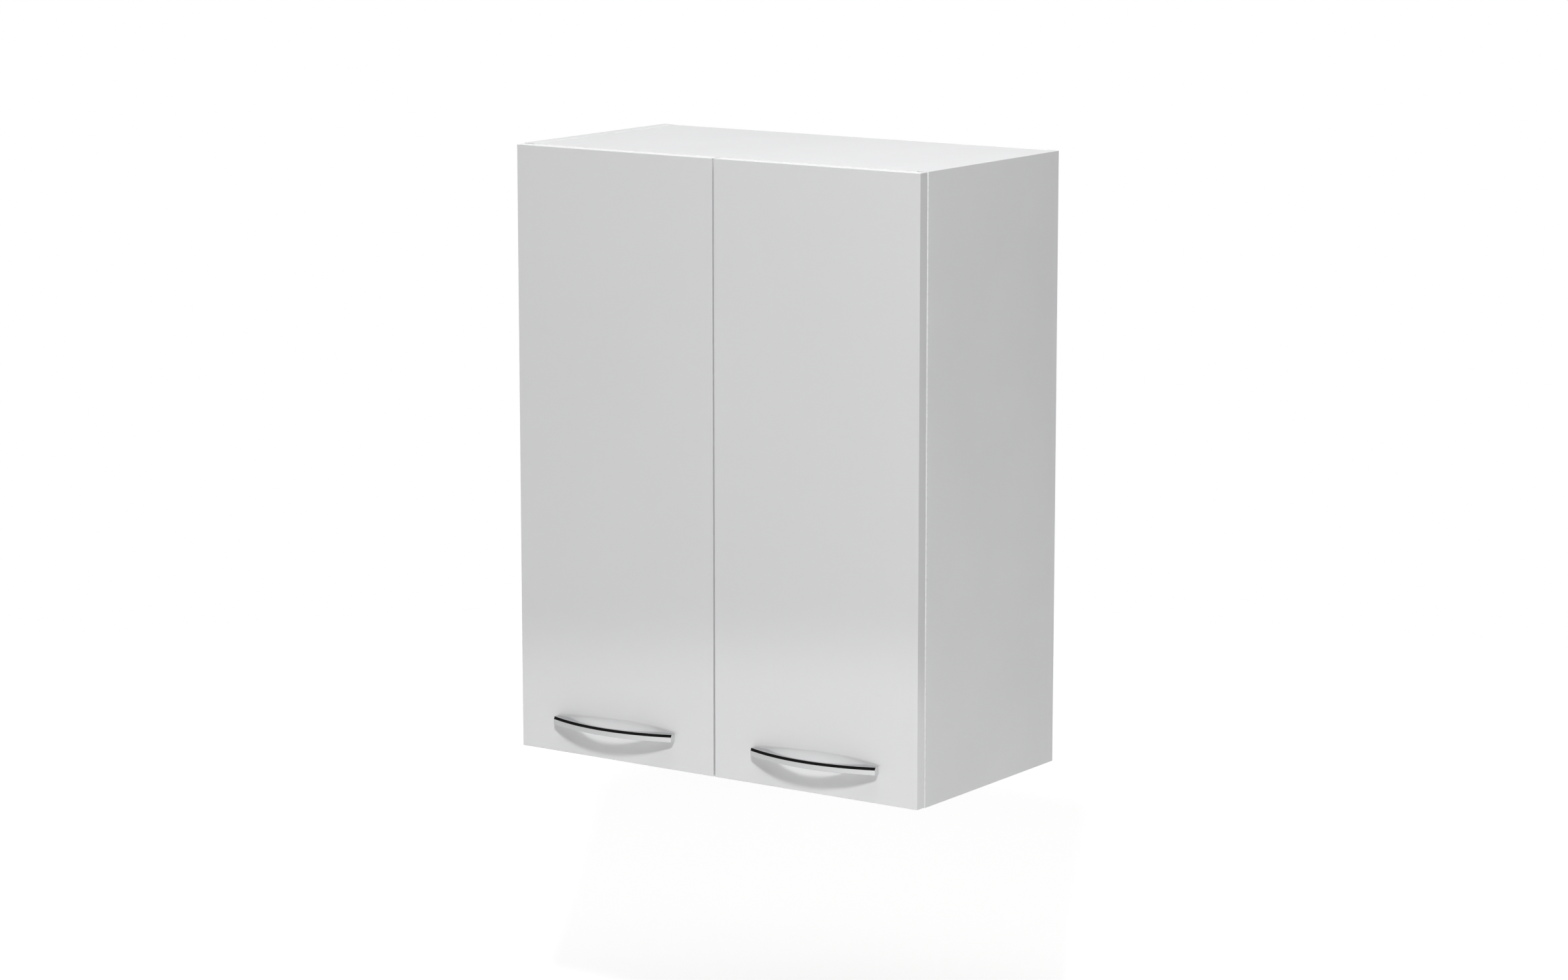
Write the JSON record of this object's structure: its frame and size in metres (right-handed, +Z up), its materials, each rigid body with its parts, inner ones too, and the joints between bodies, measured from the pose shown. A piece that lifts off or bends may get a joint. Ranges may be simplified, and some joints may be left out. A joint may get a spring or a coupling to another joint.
{
  "type": "hanging wall cabinet",
  "caption": "White hanging wall cabinet with gloss overlay doors on concealed linkage hinges, chrome bow handles, adjustable shelves and a wall rail with hook hangers.",
  "frame": {"origin": "middle of the wall rail's line of screw holes, on the wall plane", "axes": "+Y towards the wall, +Z up, +X to the right for a person facing the doors"},
  "size_m": [0.6, 0.3385, 0.77],
  "materials": {
    "white_board": "white melamine-faced chipboard, fine satin texture",
    "edge_band": "white ABS edge band, rounded, satin",
    "back_board": "white printed hardboard, matt",
    "white_gloss": "white high-gloss lacquer on fibreboard",
    "chrome": "polished chrome plating",
    "nickel": "nickel-plated pressed steel and die-cast zinc",
    "plated_steel": "zinc-plated steel",
    "galvanised_steel": "galvanised strip steel",
    "zinc": "die-cast zinc",
    "white_plastic": "white moulded plastic",
    "clear_bumper": "clear soft bumper",
    "beech": "bare beech, fluted dowels"
  },
  "bodies": {
    "carcass": {"side_left": "white_board", "side_right": "white_board", "band_side_left": "edge_band", "band_side_right": "edge_band", "top_panel": "white_board", "band_top": "edge_band", "bottom_panel": "white_board", "band_bottom": "edge_band", "back_panel": "back_board", "shelf_lower": "white_board", "shelf_upper": "white_board", "band_shelf_lower": "edge_band", "band_shelf_upper": "edge_band", "cam_locks": "zinc", "cam_bolts": "plated_steel", "dowels": "beech", "shelf_pins": "plated_steel", "wall_rail": "galvanised_steel", "hanger_housing_left": "white_plastic", "hanger_hook_left": "galvanised_steel", "hanger_screws_left": "plated_steel", "hanger_cover_left": "white_plastic", "hinge_arms_left": "nickel", "hinge_plates_left": "nickel", "plate_screws_left": "plated_steel", "arm_screws_left": "plated_steel", "arm_pins_left": "plated_steel", "hanger_housing_right": "white_plastic", "hanger_hook_right": "galvanised_steel", "hanger_screws_right": "plated_steel", "hanger_cover_right": "white_plastic", "hinge_arms_right": "nickel", "hinge_plates_right": "nickel", "plate_screws_right": "plated_steel", "arm_screws_right": "plated_steel", "arm_pins_right": "plated_steel"},
    "centre_links_left_body": {"centre_links_left": "nickel"},
    "door_left_body": {"door_left": "white_gloss", "handle_left": "chrome", "handle_screws_left": "plated_steel", "door_bumpers_left": "clear_bumper", "hinge_cups_left": "nickel", "cup_screws_left": "plated_steel", "cup_pins_left": "plated_steel"},
    "side_links_left_body": {"side_links_left": "nickel"},
    "centre_links_right_body": {"centre_links_right": "nickel"},
    "door_right_body": {"door_right": "white_gloss", "handle_right": "chrome", "handle_screws_right": "plated_steel", "door_bumpers_right": "clear_bumper", "hinge_cups_right": "nickel", "cup_screws_right": "plated_steel", "cup_pins_right": "plated_steel"},
    "side_links_right_body": {"side_links_right": "nickel"}
  },
  "joints": [
    {"name": "centre_links_left_turn", "type": "hinge", "parent": "carcass", "child": "centre_links_left_body", "pos_m": [-0.2636, -0.281, -0.337], "axis": [0, 0, 1], "range_deg": [0, 28.5]},
    {"name": "door_left_swing", "type": "hinge", "parent": "centre_links_left_body", "child": "door_left_body", "pos_m": [-0.2893, -0.2981, -0.337], "axis": [0, 0, -1], "range_deg": [0, 118.44]},
    {"name": "side_links_left_turn", "type": "hinge", "parent": "carcass", "child": "side_links_left_body", "pos_m": [-0.27363, -0.30288, -0.337], "axis": [0, 0, 1], "range_deg": [0, 57.7]},
    {"name": "centre_links_right_turn", "type": "hinge", "parent": "carcass", "child": "centre_links_right_body", "pos_m": [0.2636, -0.281, -0.337], "axis": [0, 0, -1], "range_deg": [0, 28.5]},
    {"name": "door_right_swing", "type": "hinge", "parent": "centre_links_right_body", "child": "door_right_body", "pos_m": [0.2893, -0.2981, -0.337], "axis": [0, 0, 1], "range_deg": [0, 118.44]},
    {"name": "side_links_right_turn", "type": "hinge", "parent": "carcass", "child": "side_links_right_body", "pos_m": [0.27363, -0.30288, -0.337], "axis": [0, 0, -1], "range_deg": [0, 57.7]}
  ],
  "couplings": [
    {"joint": "centre_links_left_turn", "follows": "door_left_swing", "ratio": 0.24012},
    {"joint": "side_links_left_turn", "follows": "door_left_swing", "ratio": 0.48632},
    {"joint": "centre_links_right_turn", "follows": "door_right_swing", "ratio": 0.24012},
    {"joint": "side_links_right_turn", "follows": "door_right_swing", "ratio": 0.48632}
  ]
}
